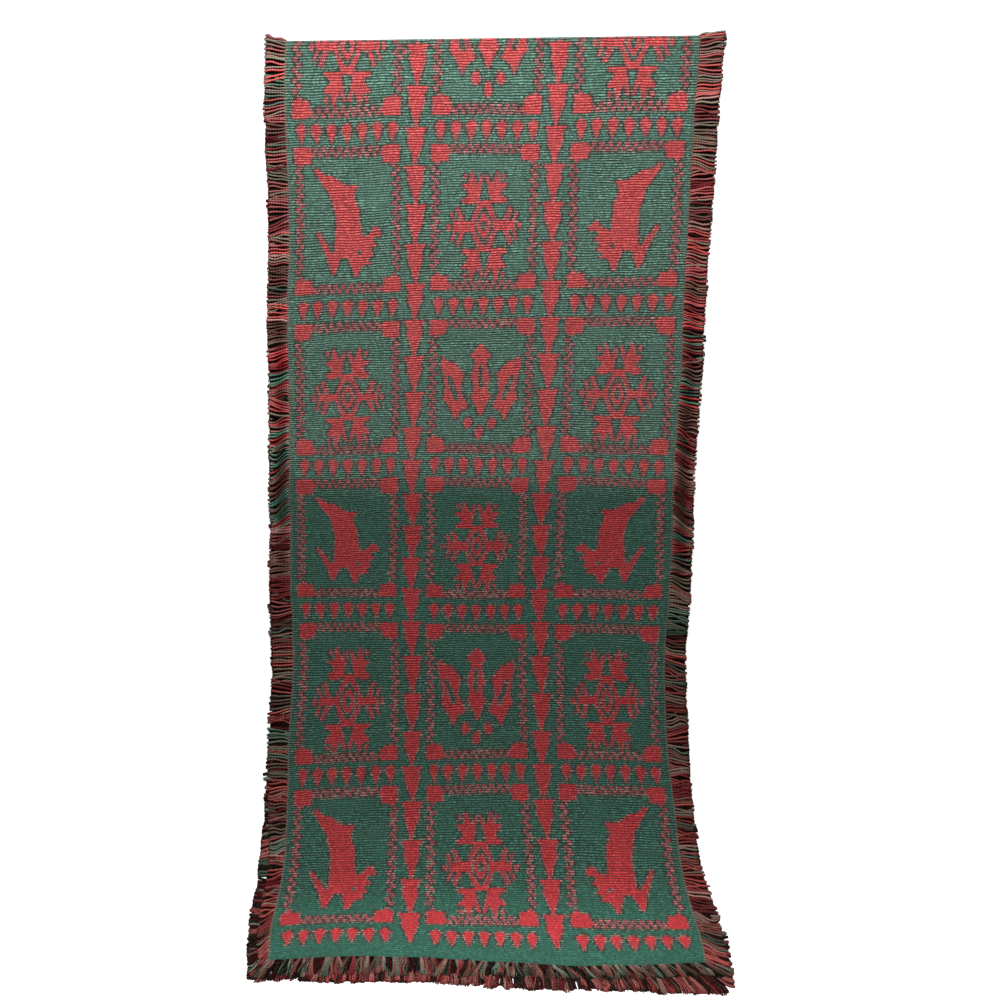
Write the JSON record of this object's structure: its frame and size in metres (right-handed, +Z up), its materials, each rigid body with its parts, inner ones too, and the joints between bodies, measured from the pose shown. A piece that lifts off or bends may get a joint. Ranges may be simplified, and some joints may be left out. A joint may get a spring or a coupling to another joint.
{
  "type": "folded table runner",
  "caption": "Fringed cotton tapestry table runner with a woven block pattern, folded in half and laid flat; dresses a table or sideboard.",
  "frame": {"origin": "on the surface the runner lies on, under the middle of its overall box", "axes": "+Z up from the surface, +Y along the runner towards its fold, -Y towards its two fringed ends, +X to the right when the ends are nearest"},
  "size_m": [0.4112, 0.8608, 0.0237],
  "materials": {
    "tapestry_cloth": "ribbed cotton tapestry weave, green ground with red motifs, matt",
    "fringe_yarn": "plied red and green cotton yarn, matt and slightly fluffy"
  },
  "bodies": {
    "root": {"runner_cloth": "tapestry_cloth", "fringe_left": "fringe_yarn", "fringe_right": "fringe_yarn", "fringe_end_upper": "fringe_yarn", "fringe_end_lower": "fringe_yarn"}
  },
  "joints": []
}
